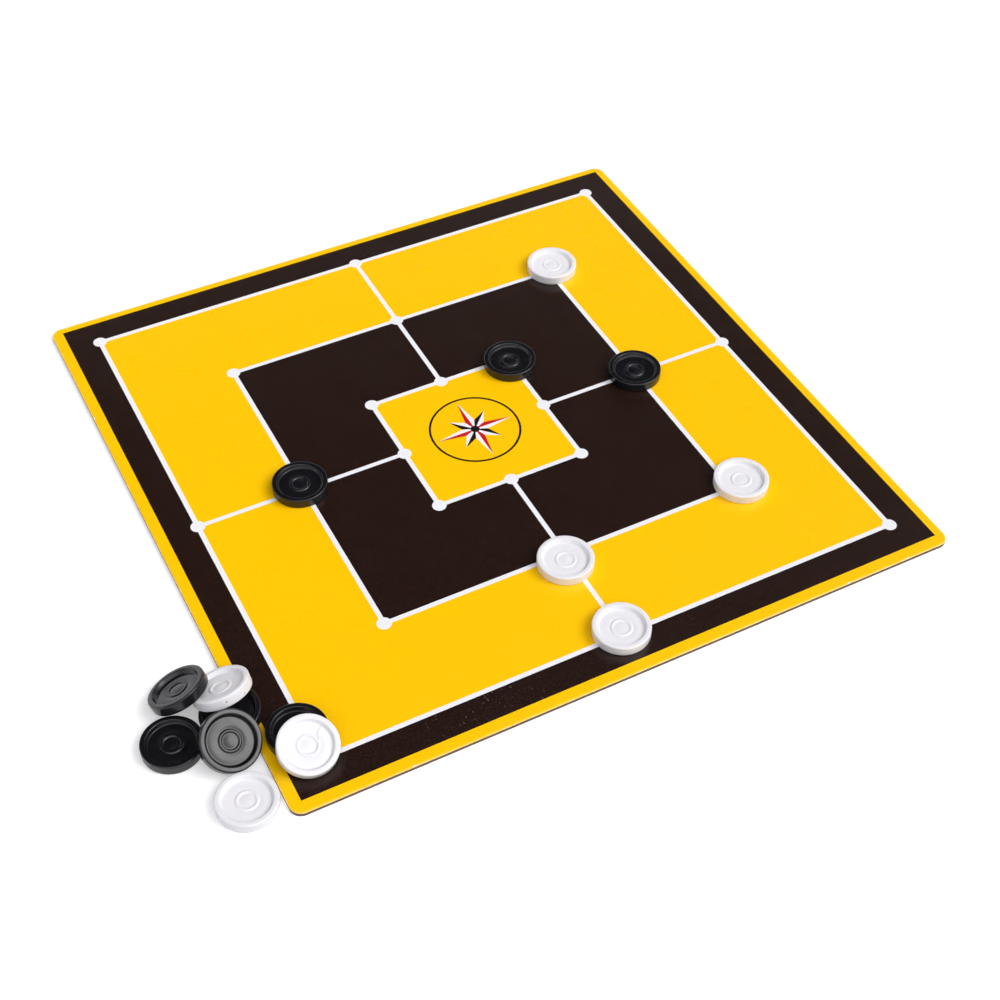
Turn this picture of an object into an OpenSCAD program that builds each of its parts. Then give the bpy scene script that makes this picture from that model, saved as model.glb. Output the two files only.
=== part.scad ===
// A board for a morris game with its loose counters: a laminated board,
// printed on its top face, and round counters with a raised rim on both faces.
// Units are millimetres. The origin is the centre of the board's underside, which
// lies on the table; X runs along the near edge, Y away from the player, Z up.

/* [Board] */
// Length of each side of the square board
board_w = 360; // [354:1:400]
// Radius of the board's corners
corner_r = 6; // [4:0.5:10]
// Thickness of the whole board
board_t = 2.5; // [2.2:0.1:3]
// Thickness of the printed face sheet
face_t = 0.25; // [0.2:0.05:0.3]
// Thickness of the plain backing sheet
backing_t = 0.2; // [0.15:0.05:0.3]
// Width of the strip along each edge that the die cutter pressed down
roll_w = 1.2; // [0.8:0.1:1.6]
// How far that strip is pressed down at the very edge
roll_h = 0.35; // [0.2:0.05:0.5]

/* [Print] */
// Depth of the printed fields in the face sheet
print_t = 0.1; // [0.08:0.01:0.15]
// Distance from the pattern's centre to the middle of the inner line square
inner_line = 42; // [36:1:45]
// Step from one line square to the next
line_step = 58; // [50:1:59]
// Width of the lines
line_w = 2.5; // [1.5:0.1:4]
// Diameter of the dots on the points
dot_d = 7.5; // [5:0.1:10]
// Width of the dark band outside the outer line square, from the line's middle
band_w = 16.5; // [10:0.5:19]
// How far the printed pattern sits off the board's centre along X
print_x = 0.6; // [-1:0.1:1]
// How far the printed pattern sits off the board's centre along Y
print_y = 1; // [-1:0.1:1]

/* [Ornament] */
// Radius of the thin ring around the star
ring_r = 25; // [20:0.5:28]
// Width of that ring
ring_w = 1.2; // [0.8:0.1:3]
// Radius of the star's four long points
star_long_r = 22; // [16:0.5:24]
// Radius of the star's four short points
star_short_r = 15; // [10:0.5:16]
// Radius of the valleys between the points
star_valley_r = 7; // [5:0.5:9]
// Radius of the round middle of the star
star_hub_r = 2.5; // [1.5:0.1:4]

/* [Counters] */
// Diameter of a counter
counter_d = 29; // [27:0.5:30]
// Thickness of a counter
counter_h = 5.5; // [5:0.1:6]
// Width of the flat rim at the top of the wall
rim_w = 2.5; // [2:0.1:3]
// Depth of the hollow on each face
hollow_h = 1.9; // [1.4:0.1:2.1]
// How far the hollow's wall leans in towards the floor
hollow_slope = 1.1; // [0.6:0.1:1.5]
// Radius of the rounded outer edges
edge_r = 0.6; // [0.3:0.1:1]
// Outer radius of the small ring on the hollow's floor
boss_r = 5.4; // [4:0.1:6.5]
// Width of that ring
boss_w = 1.4; // [0.8:0.1:2]
// Height of that ring
boss_h = 0.35; // [0.2:0.05:0.6]
// How much deeper the floor is in the middle of that ring
dish_h = 0.2; // [0.1:0.05:0.4]

/* [Layout] */
// Air between a counter that lies flat on the board and the board
rest_gap = 0.02; // [0.01:0.01:0.05]
// Air under the low edge of a counter that leans
foot_gap = 0.1; // [0.05:0.01:0.2]
// Air between a leaning counter and the board's edge that carries it
lean_gap = 0.1; // [0.08:0.01:0.2]
// Distance of the heap's middle from the board's left edge
heap_x = 6; // [5.5:0.1:8]
// Distance of the heap's middle from the line of the board's near edge
heap_y = 63; // [55:1:70]

/* [Hidden] */
$fn = 96;

GREY = [0.49, 0.42, 0.38];
PAPER = [0.86, 0.85, 0.82];
YELLOW = [1, 0.79, 0.01];
DARK = [0.13, 0.09, 0.08];
LINE_WHITE = [0.94, 0.94, 0.95];
RED = [0.8, 0.09, 0.1];
BLACK = [0.05, 0.05, 0.06];
WHITE = [0.95, 0.94, 0.94];

half_w = board_w / 2;
middle_line = inner_line + line_step;
outer_line = inner_line + 2 * line_step;
counter_r = counter_d / 2;

// One cut through the edge of a sheet that the die cutter has pressed down. The
// sheet lies between bottom and top and ends at reach; each drop is how far its
// lower and upper face go down at the very edge.
module edge_profile(reach, bottom, top, drop_bottom, drop_top) {
    polygon([[0, bottom], [reach - roll_w, bottom],
             [reach - roll_w / 3, bottom - 0.45 * drop_bottom], [reach, bottom - drop_bottom],
             [reach, top - drop_top], [reach - roll_w / 3, top - 0.45 * drop_top],
             [reach - roll_w, top], [0, top]]);
}

// A square sheet with round corners and pressed edges: two crossed bars that end
// at the corners, and a quarter turn of the same profile at each corner.
module pressed_sheet(bottom, top, drop_bottom, drop_top) {
    straight = board_w - 2 * corner_r;
    for (a = [0, 90, 180, 270]) rotate([0, 0, a]) {
        rotate([90, 0, 0]) translate([0, 0, -straight / 2]) linear_extrude(straight)
            edge_profile(half_w, bottom, top, drop_bottom, drop_top);
        translate([half_w - corner_r, half_w - corner_r, 0]) rotate_extrude(angle = 90)
            edge_profile(corner_r, bottom, top, drop_bottom, drop_top);
    }
}

// The grey board is squeezed thinner at its edge by the pressed face sheet.
module core_board() {
    color(GREY) pressed_sheet(backing_t, board_t - face_t, 0, roll_h);
}

module backing_sheet() {
    color(PAPER) linear_extrude(backing_t) {
        square([board_w - 2 * corner_r, board_w], center = true);
        square([board_w, board_w - 2 * corner_r], center = true);
        for (x = [-1, 1], y = [-1, 1])
            translate([x, y] * (half_w - corner_r)) circle(corner_r);
    }
}

// The yellow sheet, with shallow beds for the other inks.
module face_sheet() {
    color(YELLOW) difference() {
        pressed_sheet(board_t - face_t, board_t, roll_h, roll_h);
        ink(2 * print_t) {
            dark_outline();
            ring_outline();
            star_outline();
        }
    }
}

// A layer of ink in the top of the face sheet; the beds are cut with twice its
// depth, so that they are open at the top.
module ink(depth = print_t) {
    translate([print_x, print_y, board_t - print_t]) linear_extrude(depth) children();
}

// A square band of the given half width and width, around the pattern's centre.
module square_band(middle, width) {
    difference() {
        square(2 * middle + width, center = true);
        square(2 * middle - width, center = true);
    }
}

// The three line squares, the cross lines between them and a dot on each of the
// twenty-four points.
module line_outline() {
    for (r = [inner_line, middle_line, outer_line]) {
        square_band(r, line_w);
        for (x = [-1, 0, 1], y = [-1, 0, 1])
            if (x != 0 || y != 0) translate([x, y] * r) circle(d = dot_d);
    }
    for (a = [0, 90, 180, 270]) rotate(a)
        translate([inner_line, -line_w / 2]) square([outer_line - inner_line, line_w]);
}

// Everything of the pattern that isn't yellow: the dark band at the edge, the dark
// band between the inner and the middle line, and the lines.
module dark_outline() {
    square_band(outer_line + band_w / 2, band_w);
    square_band((inner_line + middle_line) / 2, line_step);
    line_outline();
}

module dark_fields() {
    color(DARK) ink() difference() {
        dark_outline();
        line_outline();
        square_band((middle_line + outer_line) / 2, line_step - line_w);
    }
}

module white_lines() {
    color(LINE_WHITE) ink() line_outline();
}

function polar(r, a) = r * [cos(a), sin(a)];

// One side of each of the star's four points of length r, the first at angle a;
// side is 1 for the left half of a point and -1 for its right half.
module star_halves(r, a, side) {
    for (k = [0:3]) difference() {
        polygon([[0, 0], polar(r, a + 90 * k), polar(star_valley_r, a + 90 * k + 22.5 * side)]);
        circle(star_hub_r);
    }
}

module ring_outline() {
    difference() {
        circle(ring_r);
        circle(ring_r - ring_w);
    }
}

module star_outline() {
    circle(star_hub_r);
    for (side = [-1, 1]) {
        star_halves(star_long_r, 0, side);
        star_halves(star_short_r, 45, side);
    }
}

module star_ring() {
    color(DARK) ink() ring_outline();
}

module star_red() {
    color(RED) ink() star_halves(star_long_r, 0, 1);
}

module star_dark() {
    color(DARK) ink() {
        circle(star_hub_r);
        star_halves(star_short_r, 45, 1);
    }
}

module star_white() {
    color(LINE_WHITE) ink() {
        star_halves(star_long_r, 0, -1);
        star_halves(star_short_r, 45, -1);
    }
}

// Half of a cut through a counter, without its hollows.
module counter_disc() {
    square([counter_r - edge_r, counter_h]);
    translate([0, edge_r]) square([counter_r, counter_h - 2 * edge_r]);
    for (z = [edge_r, counter_h - edge_r]) translate([counter_r - edge_r, z]) circle(edge_r);
}

// Half of a cut through the hollow of the lower face: the leaning wall inside the
// rim, the flat floor, the small ring on it and the dished middle.
module hollow() {
    mouth = counter_r - rim_w;
    lip = boss_w / 5;
    polygon([[0, -1], [mouth, -1], [mouth, 0], [mouth - hollow_slope, hollow_h],
             [boss_r, hollow_h], [boss_r - lip, hollow_h - boss_h],
             [boss_r - boss_w + lip, hollow_h - boss_h], [boss_r - boss_w, hollow_h],
             [boss_r - boss_w - 2 * lip, hollow_h + dish_h], [0, hollow_h + dish_h]]);
}

// A counter with its underside's centre at the origin; both faces are the same.
module counter() {
    rotate_extrude() difference() {
        counter_disc();
        hollow();
        translate([0, counter_h]) mirror([0, 1]) hollow();
    }
}

// A counter that lies flat, with its middle at the given place and height.
module flat(place, z) {
    translate([place[0], place[1], z]) counter();
}

// The way from a tilted counter's sharp low corner up to its rounded low edge.
function edge_lift(tilt) = edge_r * (sin(tilt) + cos(tilt) - 1);

// A counter that leans: its low edge is over the given foot at height z, and it
// rises by tilt towards the direction way.
module leaning(foot, z, way, tilt) {
    translate([foot[0], foot[1], z - edge_lift(tilt)]) rotate([0, 0, way])
        rotate([0, -tilt, 0]) translate([counter_r, 0, 0]) counter();
}

// Height of the middle of a leaning counter's upper face.
function leaning_top(z, tilt) =
    z - edge_lift(tilt) + counter_r * sin(tilt) + counter_h * cos(tilt);

// Tilt at which the small ring in a counter's lower hollow meets another counter's
// rim, which stands rise above the foot and run away from it.
function tilt_on_rim(rise, run) =
    atan(rise / run) - asin((hollow_h - boss_h) / norm([rise, run]));

// A place on the board: a point of the pattern, counted in line squares from the
// centre, with 0 for the middle, and how far off it the counter was put down.
function point(x, y, off) =
    [print_x + sign(x) * (inner_line + (abs(x) - 1) * line_step) + off[0],
     print_y + sign(y) * (inner_line + (abs(y) - 1) * line_step) + off[1]];
on_board = board_t + rest_gap;

module black_counter_1() {
    color(BLACK) flat(point(1, 1, [-1.4, -4.9]), on_board);
}

module black_counter_2() {
    color(BLACK) flat(point(2, 0, [-0.9, -1.1]), on_board);
}

module black_counter_3() {
    color(BLACK) flat(point(-2, 0, [-1.1, 1.5]), on_board);
}

module white_counter_1() {
    color(WHITE) flat(point(2, 2, [2.2, 0.8]), on_board);
}

module white_counter_2() {
    color(WHITE) flat(point(2, -2, [5.4, 0.7]), on_board);
}

module white_counter_3() {
    color(WHITE) flat(point(0, -2, [-3.4, -6.3]), on_board);
}

module white_counter_4() {
    color(WHITE) flat(point(0, -3, [-0.5, 1.6]), on_board);
}

// A place in the heap, in counter radii from its middle beside the board's left
// edge, so that the heap keeps its form with a larger counter.
function heap(x, y) = [-half_w - heap_x, -half_w + heap_y] + [x, y] * counter_r;

// The heap from the bottom up. Counter 5 lies on the table; 6 has its low edge on
// the table beside it and lies on the board's edge.
foot_6 = heap(-0.9, 0);
tilt_6 = atan((board_t + lean_gap) / (roll_w - half_w - foot_6[0]));
top_6 = leaning_top(foot_gap, tilt_6);

// White counter 5 lies on the board's edge and on the rim of black counter 6.
rise_5 = top_6 - board_t;
tilt_5 = max(atan(rise_5 / (0.69 * counter_r)), tilt_on_rim(1.2 * rise_5, 0.6 * counter_r));
foot_z_5 = board_t - 0.165 * counter_r * tan(tilt_5);
top_5 = leaning_top(foot_z_5, tilt_5);

// Black counter 8 leans on the left rim of white counter 5, and black counter 7
// on the near rim of black counter 6, both with their feet on the table.
tilt_8 = atan(top_5 / (1.53 * counter_r));
tilt_7 = atan(top_6 / (0.735 * counter_r));

// White counter 7 leans on black counter 4, which lies on the board.
tilt_w7 = max(atan(counter_h / (1.09 * counter_r)), tilt_on_rim(counter_h, 0.75 * counter_r));

module black_counter_4() {
    color(BLACK) flat(heap(1.67, -1.62), on_board);
}

module black_counter_5() {
    color(BLACK) flat(heap(-1.96, -0.19), 0);
}

module black_counter_6() {
    color(BLACK) leaning(foot_6, foot_gap, 0, tilt_6);
}

module black_counter_7() {
    color(BLACK) leaning(heap(-0.21, -1.94), foot_gap, 105, tilt_7);
}

module black_counter_8() {
    color(BLACK) leaning(heap(-1.57, 2.03), foot_gap, -57, tilt_8);
}

module white_counter_5() {
    color(WHITE) leaning(heap(-0.15, 1.59), foot_z_5, -73, tilt_5);
}

module white_counter_6() {
    color(WHITE) flat(heap(-0.64, -3.19), 0);
}

module white_counter_7() {
    color(WHITE) leaning(heap(1.68, -3.36), board_t + foot_gap, 89, tilt_w7);
}

core_board();
backing_sheet();
face_sheet();
dark_fields();
white_lines();
star_ring();
star_red();
star_dark();
star_white();
black_counter_1();
black_counter_2();
black_counter_3();
black_counter_4();
black_counter_5();
black_counter_6();
black_counter_7();
black_counter_8();
white_counter_1();
white_counter_2();
white_counter_3();
white_counter_4();
white_counter_5();
white_counter_6();
white_counter_7();
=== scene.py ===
# A morris game laid out on a table: a square laminated board, printed on top, and
# fifteen moulded counters, seven of them on the board and eight in a heap at its
# left corner.
import math

import bmesh
import bpy
import numpy as np
from mathutils import Euler, Matrix, Vector


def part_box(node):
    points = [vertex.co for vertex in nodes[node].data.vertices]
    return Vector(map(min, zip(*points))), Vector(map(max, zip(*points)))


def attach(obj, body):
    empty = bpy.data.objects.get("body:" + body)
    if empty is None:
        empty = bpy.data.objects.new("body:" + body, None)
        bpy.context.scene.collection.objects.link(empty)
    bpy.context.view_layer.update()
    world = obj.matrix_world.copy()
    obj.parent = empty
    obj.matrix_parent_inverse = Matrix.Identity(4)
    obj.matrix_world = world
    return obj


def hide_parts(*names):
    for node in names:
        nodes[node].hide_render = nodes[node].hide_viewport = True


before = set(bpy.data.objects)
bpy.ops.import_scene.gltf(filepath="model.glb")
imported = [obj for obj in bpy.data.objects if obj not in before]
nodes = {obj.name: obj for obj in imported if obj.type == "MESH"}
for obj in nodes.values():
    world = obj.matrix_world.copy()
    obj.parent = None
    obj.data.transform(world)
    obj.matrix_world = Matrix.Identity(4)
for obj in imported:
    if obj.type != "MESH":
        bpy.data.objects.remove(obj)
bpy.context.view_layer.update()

# Camera. It stands where the photographer stood: before the left half of the near
# edge, 0.6 m above the table, looking down over the board with a 59 mm lens.
camera_data = bpy.data.cameras.new("camera")
camera_data.sensor_width = 36
camera_data.lens = 59.04
camera_data.clip_start = 0.02
camera_data.clip_end = 30
camera = bpy.data.objects.new("camera", camera_data)
camera.location = (-0.2874, -0.5630, 0.6218)
camera.rotation_euler = Euler((0.75330, -0.01372, -0.47990), "XYZ")
bpy.context.scene.collection.objects.link(camera)
bpy.context.scene.camera = camera
bpy.context.scene.view_settings.view_transform = "Standard"

# Table and light. A seamless white paper sweep: flat where the game lies and
# curving up to a low wall all round. It shows white to the camera and in gloss,
# and darkens where the game shades it.
SWEEP_Z = -0.00005  # just under the board, so that the two faces don't meet
SWEEP_CUT = [(0, SWEEP_Z), (3.2, SWEEP_Z), (3.7, 0.12), (3.95, 0.5), (4, 2)]
sweep_mesh = bmesh.new()
profile = [sweep_mesh.verts.new((r, 0, z)) for r, z in SWEEP_CUT]
for a, b in zip(profile, profile[1:]):
    sweep_mesh.edges.new((a, b))
bmesh.ops.spin(sweep_mesh, geom=sweep_mesh.verts[:] + sweep_mesh.edges[:],
               cent=(0, 0, 0), axis=(0, 0, 1), angle=math.tau, steps=96,
               use_merge=True)
bmesh.ops.remove_doubles(sweep_mesh, verts=sweep_mesh.verts, dist=1e-6)
bmesh.ops.recalc_face_normals(sweep_mesh, faces=sweep_mesh.faces)
sweep_data = bpy.data.meshes.new("paper_sweep")
sweep_mesh.to_mesh(sweep_data)
sweep_mesh.free()
sweep = bpy.data.objects.new("paper_sweep", sweep_data)
bpy.context.scene.collection.objects.link(sweep)


def linear(hex_colour):
    """An sRGB hex colour as the linear RGBA that a shader takes."""
    channels = [int(hex_colour[i:i + 2], 16) / 255 for i in (0, 2, 4)]
    return tuple(c / 12.92 if c <= 0.04045 else ((c + 0.055) / 1.055) ** 2.4
                 for c in channels) + (1.0,)


def add(tree, kind, settings=None, **inputs):
    """Adds a node. An input is a number, a colour or another node's output; its
    name is the socket's, with _ for a space, or i and the socket's number."""
    node = tree.nodes.new(kind)
    for key, value in (settings or {}).items():
        setattr(node, key, value)
    for key, value in inputs.items():
        if key[0] == "i" and key[1:].isdigit():
            socket = node.inputs[int(key[1:])]
        else:
            socket = node.inputs[key.replace("_", " ")]
        if isinstance(value, bpy.types.NodeSocket):
            tree.links.new(value, socket)
        else:
            socket.default_value = value
    return node


# Matt white background paper; a little of its white is its own light, so that it
# reads as the bare white ground of the photograph and still takes a shadow.
PAPER_GLOW = 0.3
sweep_paper = bpy.data.materials.new("background_paper")
sweep_paper.use_nodes = True
tree = sweep_paper.node_tree
tree.nodes.clear()
rays = add(tree, "ShaderNodeLightPath")
seen = add(tree, "ShaderNodeMath", {"operation": "MAXIMUM"},
           i0=rays.outputs["Is Camera Ray"], i1=rays.outputs["Is Glossy Ray"])
seen = add(tree, "ShaderNodeMath", {"operation": "MAXIMUM"},
           i0=seen.outputs[0], i1=rays.outputs["Is Transmission Ray"])
own_light = add(tree, "ShaderNodeMath", {"operation": "MULTIPLY"},
                i0=seen.outputs[0], i1=PAPER_GLOW)
# Painted shade: from 1.3 m to 3.4 m away from the game the paper's colour darkens to
# a light grey, standing in for the light falling off.
floor_place = add(tree, "ShaderNodeTexCoord")
far = add(tree, "ShaderNodeVectorMath", {"operation": "LENGTH"},
          i0=floor_place.outputs["Object"])
fall = add(tree, "ShaderNodeMapRange", Value=far.outputs["Value"], From_Min=1.3,
           From_Max=3.4, To_Min=0.0, To_Max=1.0)
paper = add(tree, "ShaderNodeMix", {"data_type": "RGBA"}, Factor=fall.outputs[0])
paper.inputs[6].default_value = linear("EAEAEA")
paper.inputs[7].default_value = linear("C6C6C8")
matt = add(tree, "ShaderNodeBsdfDiffuse", Color=paper.outputs[2])
glow = add(tree, "ShaderNodeEmission", Color=linear("FFFFFF"),
           Strength=own_light.outputs[0])
both = add(tree, "ShaderNodeAddShader", i0=matt.outputs[0], i1=glow.outputs[0])
add(tree, "ShaderNodeOutputMaterial", Surface=both.outputs[0])
sweep_data.materials.append(sweep_paper)

# Soft studio light: a broad lamp high at the front right, and a bright room in
# front of the game that falls off to a dark one behind and above it, which keeps
# the black counters and the dark ink deep.
KEY_FROM = (0.56, -0.43, 0.71)
key_data = bpy.data.lights.new("key", "SUN")
key_data.energy = 1.25
key_data.angle = math.radians(34)
key_data.color = (1.0, 0.985, 0.97)
key = bpy.data.objects.new("key", key_data)
key.rotation_euler = Vector(KEY_FROM).to_track_quat("Z", "Y").to_euler()
bpy.context.scene.collection.objects.link(key)

ROOM_FRONT = (0.22, -0.93, 0.29)
room = bpy.data.worlds.new("room")
room.use_nodes = True
bpy.context.scene.world = room
tree = room.node_tree
tree.nodes.clear()
way = add(tree, "ShaderNodeTexCoord")
front = add(tree, "ShaderNodeVectorMath", {"operation": "DOT_PRODUCT"},
            i0=way.outputs["Generated"], i1=ROOM_FRONT)
level = add(tree, "ShaderNodeMapRange", {"interpolation_type": "SMOOTHSTEP"},
            Value=front.outputs["Value"], From_Min=-0.22, From_Max=0.75,
            To_Min=0.01, To_Max=1.9)
sky = add(tree, "ShaderNodeBackground", Color=linear("FCFCFF"),
          Strength=level.outputs[0])
add(tree, "ShaderNodeOutputWorld", Surface=sky.outputs[0])


# Core of the board. Grey board pressed from waste paper pulp; it shows as a thin
# brown-grey line where the die cut through it, matt and a little fibrous.
def start_material(name):
    """A new material, with its node tree and its shader."""
    material = bpy.data.materials.new(name)
    material.use_nodes = True
    return (material, material.node_tree,
            material.node_tree.nodes["Principled BSDF"])


def two_tones(tree, pattern, dark, light, low=0.3, high=0.7):
    """Colours a pattern from dark at its value low to light at its value high."""
    ramp = add(tree, "ShaderNodeValToRGB", Fac=pattern.outputs["Fac"])
    first, last = ramp.color_ramp.elements
    first.position, first.color = low, linear(dark)
    last.position, last.color = high, linear(light)
    return ramp.outputs["Color"]


greyboard, tree, surface = start_material("greyboard_die_cut")
place = add(tree, "ShaderNodeTexCoord").outputs["Object"]
# Pulp flecks of about 0.8 mm, in two browns.
fleck = add(tree, "ShaderNodeTexNoise", Vector=place, Scale=1200.0, Detail=3.0,
            Roughness=0.7)
tree.links.new(two_tones(tree, fleck, "4E3E37", "7C685F", high=0.68),
               surface.inputs["Base Color"])
# Torn fibres, 0.3 mm apart, stand out of the cut.
fibre = add(tree, "ShaderNodeTexNoise", Vector=place, Scale=3200.0, Detail=2.0)
rough_cut = add(tree, "ShaderNodeBump", Strength=0.5, Distance=0.0001,
                Height=fibre.outputs["Fac"])
tree.links.new(rough_cut.outputs["Normal"], surface.inputs["Normal"])
surface.inputs["Roughness"].default_value = 0.9
surface.inputs["Specular IOR Level"].default_value = 0.25
nodes["core_board"].material_slots[0].material = greyboard

# Backing sheet. Plain uncoated paper glued under the core; only its cut edge and
# its underside can be seen.
backing_paper, tree, surface = start_material("uncoated_backing_paper")
place = add(tree, "ShaderNodeTexCoord").outputs["Object"]
# Cloudy paper formation, 6 mm across, between two warm whites.
cloud = add(tree, "ShaderNodeTexNoise", Vector=place, Scale=160.0, Detail=4.0)
tree.links.new(two_tones(tree, cloud, "D3CFC6", "DFDCD4", low=0.35),
               surface.inputs["Base Color"])
# The felt side's tooth, 0.4 mm.
fibre = add(tree, "ShaderNodeTexNoise", Vector=place, Scale=2500.0, Detail=3.0)
felt = add(tree, "ShaderNodeBump", Strength=0.35, Distance=0.00006,
           Height=fibre.outputs["Fac"])
tree.links.new(felt.outputs["Normal"], surface.inputs["Normal"])
surface.inputs["Roughness"].default_value = 0.85
surface.inputs["Specular IOR Level"].default_value = 0.3
nodes["backing_sheet"].material_slots[0].material = backing_paper

# Printed face. One sheet of coated paper, offset printed and varnished, laminated
# to the core and rolled down over its edge by the die. Every ink lies under the
# same satin varnish, so they share its fine grain.
MM = 0.001
VARNISH_IOR = 1.43


def varnish(tree, rough, grain=0.16):
    """The satin varnish over an ink: the sheet's grain, drawn at 1.1 mm so that it
    shows, and patches of 22 mm where it dried more or less glossy. Returns the
    Object coordinates."""
    surface = tree.nodes["Principled BSDF"]
    place = add(tree, "ShaderNodeTexCoord").outputs["Object"]
    coarse = add(tree, "ShaderNodeTexNoise", Vector=place, Scale=900.0, Detail=3.0,
                 Roughness=0.6)
    bumps = add(tree, "ShaderNodeBump", Strength=grain, Distance=0.0004,
                Height=coarse.outputs["Fac"])
    tree.links.new(bumps.outputs["Normal"], surface.inputs["Normal"])
    dried = add(tree, "ShaderNodeTexNoise", Vector=place, Scale=45.0, Detail=4.0)
    gloss = add(tree, "ShaderNodeMapRange", Value=dried.outputs["Fac"],
                From_Min=0.3, From_Max=0.7, To_Min=rough - 0.015,
                To_Max=rough + 0.02)
    tree.links.new(gloss.outputs[0], surface.inputs["Roughness"])
    surface.inputs["IOR"].default_value = VARNISH_IOR
    return place


def ink_tone(tree, place, dark, light, size_mm=0.7):
    """Mottles an ink between two close tones, in spots of the given size."""
    mottle = add(tree, "ShaderNodeTexNoise", Vector=place,
                 Scale=1 / (size_mm * MM), Detail=2.0)
    return two_tones(tree, mottle, dark, light)


yellow_ink, tree, surface = start_material("yellow_offset_ink_on_coated_paper")
place = varnish(tree, 0.28)
tone = ink_tone(tree, place, "FFC400", "FFC900")
up = add(tree, "ShaderNodeSeparateXYZ",
         Vector=add(tree, "ShaderNodeTexCoord").outputs["Normal"])
# Where the sheet bends down over the edge, its crease is made lighter in patches of 3
# mm: partly paper rubbed bare by the die, partly a painted highlight along the rolled
# edge.
rubbed = add(tree, "ShaderNodeTexNoise", Vector=place, Scale=350.0, Detail=3.0)
bare = add(tree, "ShaderNodeMapRange", Value=rubbed.outputs["Fac"], From_Min=0.45,
           From_Max=0.75, To_Min=0.06, To_Max=0.6)
crease = add(tree, "ShaderNodeMath", {"operation": "LESS_THAN"},
             i0=up.outputs["Z"], i1=0.95)
pale_wear_and_highlight = add(tree, "ShaderNodeMath", {"operation": "MULTIPLY"}, i0=bare.outputs[0],
           i1=crease.outputs[0])
wear_and_highlight = add(tree, "ShaderNodeMix", {"data_type": "RGBA"}, Factor=pale_wear_and_highlight.outputs[0])
tree.links.new(tone, wear_and_highlight.inputs[6])
wear_and_highlight.inputs[7].default_value = linear("FFF3D6")
# The cut side of the sheet shows its paper in a dull buff: partly paper compressed by
# the die, partly painted shade on the edge.
level_face = add(tree, "ShaderNodeMath", {"operation": "GREATER_THAN"},
                 i0=up.outputs["Z"], i1=0.5)
cut_side = add(tree, "ShaderNodeMix", {"data_type": "RGBA"},
               Factor=level_face.outputs[0])
cut_side.inputs[6].default_value = linear("B39C86")
tree.links.new(wear_and_highlight.outputs[2], cut_side.inputs[7])
tree.links.new(cut_side.outputs[2], surface.inputs["Base Color"])
nodes["face_sheet"].material_slots[0].material = yellow_ink

# Dark fields. A warm brown-black printed in three inks over each other, under the
# same varnish. Specks of dust and a few scuffs catch the light on it.
dark_ink, tree, surface = start_material("brown_black_offset_ink")
place = varnish(tree, 0.25, grain=0.4)
tone = ink_tone(tree, place, "170B06", "2B1912")
# Dust: a speck of up to 0.5 mm in about half of the cells, which are 9 mm wide.
cells = add(tree, "ShaderNodeTexVoronoi", {"feature": "F1"}, Vector=place,
            Scale=110.0, Randomness=1.0)
draw = add(tree, "ShaderNodeSeparateColor", Color=cells.outputs["Color"])
reach = add(tree, "ShaderNodeMapRange", Value=draw.outputs["Red"], From_Min=0.55,
            From_Max=1.0, To_Min=0.0, To_Max=0.03)
speck = add(tree, "ShaderNodeMath", {"operation": "LESS_THAN"},
            i0=cells.outputs["Distance"], i1=reach.outputs[0])
dust = add(tree, "ShaderNodeMath", {"operation": "MULTIPLY"}, i0=speck.outputs[0],
           i1=draw.outputs["Green"])
# Scuffs: slanting scratches, 1 mm wide and 3 mm long, in clusters of 9 mm. They
# thin out over 60 mm from a spot on the near band.
SCUFFED_SPOT = (-0.085, -0.163, 0.0025)
slant = add(tree, "ShaderNodeMapping", Vector=place,
            Rotation=(0, 0, math.radians(-24)), Scale=(1000.0, 340.0, 1.0))
scratch = add(tree, "ShaderNodeTexNoise", Vector=slant.outputs[0], Scale=1.0,
              Detail=3.0, Roughness=0.7)
away = add(tree, "ShaderNodeVectorMath", {"operation": "DISTANCE"}, i0=place,
           i1=SCUFFED_SPOT)
near_limit = add(tree, "ShaderNodeMapRange", Value=away.outputs["Value"],
                 From_Min=0.0, From_Max=0.06, To_Min=0.61, To_Max=0.72)
cluster = add(tree, "ShaderNodeTexNoise", Vector=place, Scale=110.0, Detail=1.0)
between = add(tree, "ShaderNodeMapRange", Value=cluster.outputs["Fac"],
              From_Min=0.35, From_Max=0.62, To_Min=0.14, To_Max=0.0)
limit = add(tree, "ShaderNodeMath", {"operation": "ADD"}, i0=near_limit.outputs[0],
            i1=between.outputs[0])
scratched = add(tree, "ShaderNodeMath", {"operation": "GREATER_THAN"},
                i0=scratch.outputs["Fac"], i1=limit.outputs[0])
scuff = add(tree, "ShaderNodeMath", {"operation": "MULTIPLY"},
            i0=scratched.outputs[0], i1=0.55)
marks = add(tree, "ShaderNodeMath", {"operation": "MAXIMUM"}, i0=dust.outputs[0],
            i1=scuff.outputs[0])
marked = add(tree, "ShaderNodeMix", {"data_type": "RGBA"}, Factor=marks.outputs[0])
tree.links.new(tone, marked.inputs[6])
marked.inputs[7].default_value = linear("8C8580")
tree.links.new(marked.outputs[2], surface.inputs["Base Color"])
nodes["dark_fields"].material_slots[0].material = dark_ink

# Lines and dots. Bare white of the coated paper, left open in the other inks.
white_paper, tree, surface = start_material("white_coated_paper")
place = varnish(tree, 0.28)
tree.links.new(ink_tone(tree, place, "EDEDF2", "F1F1F5"),
               surface.inputs["Base Color"])
nodes["white_lines"].material_slots[0].material = white_paper

# Star and ring in the middle. Printed on the same sheet, in the same inks with one
# spot red; the star's white is bare paper.
red_ink, tree, surface = start_material("red_offset_ink")
place = varnish(tree, 0.28)
tree.links.new(ink_tone(tree, place, "C4141E", "CC1822"),
               surface.inputs["Base Color"])
for name, ink in (("star_red", red_ink), ("star_white", white_paper),
                  ("star_ring", dark_ink), ("star_dark", dark_ink)):
    nodes[name].material_slots[0].material = ink

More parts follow.
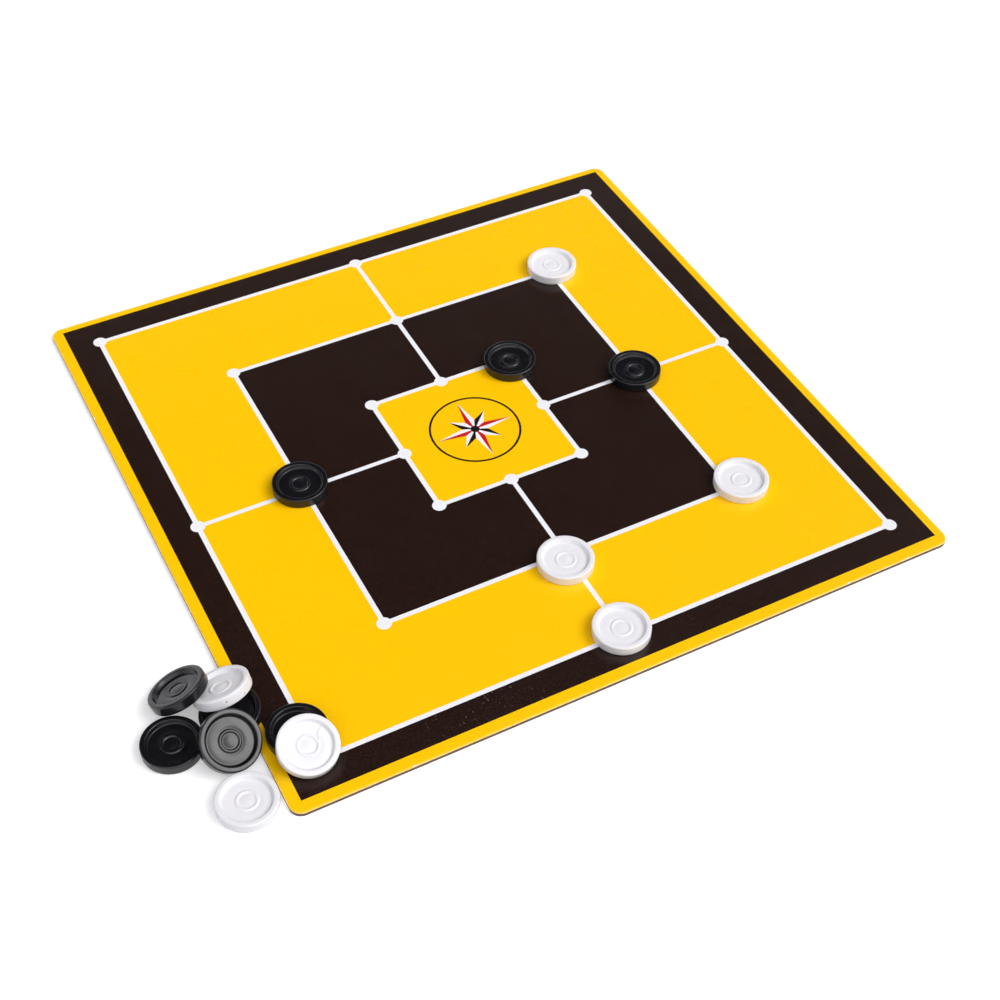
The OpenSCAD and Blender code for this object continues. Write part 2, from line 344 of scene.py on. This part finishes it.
# Nicks. Small bridges held the board in its sheet while the die cut it; where they
# tore, the white fibres of the face paper stand up on the rolled edge.
torn_paper, tree, surface = start_material("torn_paper_fibre")
place = add(tree, "ShaderNodeTexCoord").outputs["Object"]
tree.links.new(ink_tone(tree, place, "EADFDA", "FBF8F6", 0.3),
               surface.inputs["Base Color"])
surface.inputs["Roughness"].default_value = 0.95
surface.inputs["Specular IOR Level"].default_value = 0.2

TUFT_INSET = 0.45 * MM
TUFT_DROP = 0.3 * MM
TUFT_HALF_DEPTH = 0.42 * MM
# Each nick: its place along the side, the sign of the side, and whether the side
# is one that runs along Y.
NICKS = [(-0.1215, -1, False), (0.117, -1, False), (0.153, -1, False),
         (-0.119, 1, False), (0.119, 1, False),
         (-0.101, -1, True), (0.101, -1, True), (-0.101, 1, True), (0.101, 1, True)]
rng = np.random.default_rng(7)
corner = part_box("face_sheet")[1]
tufts = bmesh.new()
for along, side, turned in NICKS:
    tuft = bmesh.ops.create_icosphere(tufts, subdivisions=2, radius=1.0)["verts"]
    half_length = rng.uniform(1.1, 1.5) * MM
    half_height = rng.uniform(0.42, 0.5) * MM
    bmesh.ops.scale(tufts, vec=(half_length, TUFT_HALF_DEPTH, half_height),
                    verts=tuft)
    # Ragged: each point is drawn in by up to a quarter.
    for v in tuft:
        v.co *= rng.uniform(0.75, 1.0)
    spot = Matrix.Translation((along, side * (corner.x - TUFT_INSET),
                               corner.z - TUFT_DROP))
    if turned:
        spot = Matrix.Rotation(math.pi / 2, 4, "Z") @ spot
    bmesh.ops.transform(tufts, matrix=spot, verts=tuft)
bmesh.ops.recalc_face_normals(tufts, faces=tufts.faces)
tuft_data = bpy.data.meshes.new("torn_nicks")
tufts.to_mesh(tuft_data)
tufts.free()
tuft_data.materials.append(torn_paper)
torn_nicks = bpy.data.objects.new("torn_nicks", tuft_data)
bpy.context.scene.collection.objects.link(torn_nicks)
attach(torn_nicks, "board")

# Counters. Fifteen round draughts, injection moulded in black or white polystyrene:
# a flat rim, a stepped hollow, a thin raised ring and a low button in the middle,
# the same on both faces.
COUNTER_R = 14.5  # mm
WALL_FACES = 120
# The upper half of a cut through a counter, in mm, from the axis out to the middle
# of the wall: button, groove, ring, floor, step, rim, rounded edge, wall.
COUNTER_CUT = [
    (0, 1.02), (1.0, 0.99), (2.0, 0.9), (2.9, 0.77), (3.5, 0.68), (3.8, 0.7),
    (4.0, 0.86), (4.15, 1.02), (4.35, 1.1), (4.95, 1.1), (5.15, 1.02), (5.3, 0.86),
    (5.5, 0.68), (5.9, 0.69), (6.4, 0.77), (7.0, 0.84), (7.8, 0.865), (8.6, 0.855),
    (9.4, 0.815), (10.2, 0.75), (10.7, 0.7), (10.95, 0.72),
    (11.15, 0.9), (11.85, 2.38), (12.0, 2.62), (12.25, 2.74),
    (12.6, 2.75), (13.6, 2.75), (14.0, 2.72), (14.27, 2.6), (14.43, 2.38),
    (COUNTER_R, 2.1), (COUNTER_R, 1.25), (COUNTER_R, 0.4)]
# A gate mark is one face of the wall, 0.76 mm wide, drawn in and sunk.
GATE_DRAWN_IN = 0.12 * MM
GATE_SUNK = 0.3 * MM


def moulded_counter(name, gates):
    """Spins the cut into a counter around Z, with the marks of the mould's gates
    sunk in its wall, and lays it where the CAD counter of that name lies. A gate
    is an angle in degrees and a height in mm. Returns the piece and its lay."""
    mesh = bmesh.new()
    cut = COUNTER_CUT + [(r, -z) for r, z in reversed(COUNTER_CUT)]
    verts = [mesh.verts.new((r * MM, 0, z * MM)) for r, z in cut]
    for a, b in zip(verts, verts[1:]):
        mesh.edges.new((a, b))
    bmesh.ops.spin(mesh, geom=mesh.verts[:] + mesh.edges[:], cent=(0, 0, 0),
                   axis=(0, 0, 1), angle=math.tau, steps=WALL_FACES,
                   use_merge=True)
    bmesh.ops.remove_doubles(mesh, verts=mesh.verts, dist=1e-7)
    bmesh.ops.recalc_face_normals(mesh, faces=mesh.faces)
    for degrees, height in gates:
        around = math.radians(degrees)
        gate = Vector((COUNTER_R * math.cos(around), COUNTER_R * math.sin(around),
                       height)) * MM
        face = min(mesh.faces, key=lambda f: (f.calc_center_median() - gate).length)
        bmesh.ops.inset_individual(mesh, faces=[face], thickness=GATE_DRAWN_IN,
                                   depth=-GATE_SUNK)
        # The sunk face takes the second material, the gate mark's painted shade.
        face.material_index = 1
    # The CAD counter's middle and axis, from its own points. The axis is the way in
    # which the points spread least; one this close to upright is upright.
    points = np.array([v.co[:] for v in nodes[name].data.vertices])
    points = np.unique(points.round(7), axis=0)
    middle = (points.min(0) + points.max(0)) / 2
    spread = np.linalg.svd(points - points.mean(0), full_matrices=False)[2]
    axis = Vector(spread[2])
    if abs(axis.z) > 0.9999:
        axis = Vector((0, 0, 1))
    else:
        axis = axis * math.copysign(1, axis.z)
    turn = Vector((0, 0, 1)).rotation_difference(axis).to_matrix().to_4x4()
    lay = Matrix.Translation(Vector(middle)) @ turn
    bmesh.ops.transform(mesh, matrix=lay, verts=mesh.verts)
    for f in mesh.faces:
        f.smooth = True
    data = bpy.data.meshes.new(name + "_moulded")
    mesh.to_mesh(data)
    mesh.free()
    piece = bpy.data.objects.new(name + "_moulded", data)
    bpy.context.scene.collection.objects.link(piece)
    return piece, lay


def moulded_skin(tree, place, surface):
    """The faint orange peel that moulded polystyrene has, drawn at 0.4 mm."""
    skin = add(tree, "ShaderNodeTexNoise", Vector=place, Scale=2500.0, Detail=2.0)
    orange_peel = add(tree, "ShaderNodeBump", Strength=0.05, Distance=0.0001,
                      Height=skin.outputs["Fac"])
    tree.links.new(orange_peel.outputs["Normal"], surface.inputs["Normal"])


# Black polystyrene: deep black with a satin skin, rubbed by handling in patches of
# 4.5 mm.
black_plastic, tree, surface = start_material("black_moulded_polystyrene")
place = add(tree, "ShaderNodeTexCoord").outputs["Object"]
surface.inputs["Base Color"].default_value = linear("121115")
surface.inputs["IOR"].default_value = 1.49
rubbed = add(tree, "ShaderNodeTexNoise", Vector=place, Scale=220.0, Detail=4.0)
gloss = add(tree, "ShaderNodeMapRange", Value=rubbed.outputs["Fac"], From_Min=0.3,
            From_Max=0.7, To_Min=0.18, To_Max=0.28)
tree.links.new(gloss.outputs[0], surface.inputs["Roughness"])
moulded_skin(tree, place, surface)

# White polystyrene: opaque white, softened by light scattering under the skin.
white_plastic, tree, surface = start_material("white_moulded_polystyrene")
place = add(tree, "ShaderNodeTexCoord").outputs["Object"]
surface.inputs["Base Color"].default_value = linear("E8E7EA")
surface.inputs["IOR"].default_value = 1.55
surface.inputs["Roughness"].default_value = 0.38
surface.inputs["Subsurface Weight"].default_value = 0.25
surface.inputs["Subsurface Radius"].default_value = (1.0, 0.8, 0.7)
surface.inputs["Subsurface Scale"].default_value = 0.0008
moulded_skin(tree, place, surface)

# Painted shade in the sunk gate marks: dull brown on white plastic, dull black on
# black.
gate_mark_shade = {}
for colour, tint in (("black", "0A090B"), ("white", "6E5B55")):
    gate_mark_shade[colour], tree, surface = start_material("gate_mark_painted_shade_" + colour)
    place = add(tree, "ShaderNodeTexCoord").outputs["Object"]
    tree.links.new(ink_tone(tree, place, "0A090B", tint, 0.2),
                   surface.inputs["Base Color"])
    surface.inputs["Roughness"].default_value = 0.8

# The gate marks of each counter.
GATES = {"black_counter_1": [(40, 0)], "black_counter_2": [(160, 0)],
         "black_counter_3": [(95, 0)], "black_counter_4": [(70, 0)],
         "black_counter_5": [(214, 1.7)], "black_counter_6": [(30, 0)],
         "black_counter_7": [(10, 0)], "black_counter_8": [(130, 0)],
         "white_counter_1": [(75, 0)], "white_counter_2": [(140, 0)],
         "white_counter_3": [(20, 0)], "white_counter_4": [(100, 0)],
         "white_counter_5": [(266, 0), (304, -1.7)], "white_counter_6": [(150, 0)],
         "white_counter_7": [(60, 0)]}
lays = {}
for name, gates in GATES.items():
    counter, lays[name] = moulded_counter(name, gates)
    colour = name.split("_")[0]
    counter.data.materials.append(
        black_plastic if colour == "black" else white_plastic)
    counter.data.materials.append(gate_mark_shade[colour])
    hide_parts(name)
    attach(counter, name)

# Flow line. On white counter 7 two fronts of plastic met while the mould filled; the
# seam wanders over the floor of the upper hollow as a hairline ridge.
SEAM_PATH = [(8.87, 5.93), (7.03, 5.23), (5.93, 3.8), (5.63, 1.4), (4.9, -0.4),
             (3.5, -2.4), (2.4, -4.1), (0.62, -5.0), (-1.23, -5.2)]
HOLLOW_R = 12  # mm, where the hollow ends and the rim begins
seam = bpy.data.curves.new("flow_line", "CURVE")
seam.dimensions = "3D"
seam.bevel_depth = 0.09 * MM
seam.bevel_resolution = 2
spline = seam.splines.new("NURBS")
spline.points.add(len(SEAM_PATH) - 1)
spline.use_endpoint_u = True
floor_r, floor_z = zip(*[(r, z) for r, z in COUNTER_CUT if r < HOLLOW_R])
for point, (x, y) in zip(spline.points, SEAM_PATH):
    height = float(np.interp(math.hypot(x, y), floor_r, floor_z))
    point.co = (*(lays["white_counter_7"] @ Vector((x * MM, y * MM, height * MM))), 1)
# The seam is coloured a darker grey than the plastic around it, so it reads as a grey
# line.
weld_line, tree, surface = start_material("weld_line_in_white_polystyrene")
place = add(tree, "ShaderNodeTexCoord").outputs["Object"]
tree.links.new(ink_tone(tree, place, "A39EA5", "BDB9BE", 1.0),
               surface.inputs["Base Color"])
surface.inputs["Roughness"].default_value = 0.45
seam.materials.append(weld_line)
flow_line = bpy.data.objects.new("flow_line", seam)
bpy.context.scene.collection.objects.link(flow_line)
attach(flow_line, "white_counter_7")
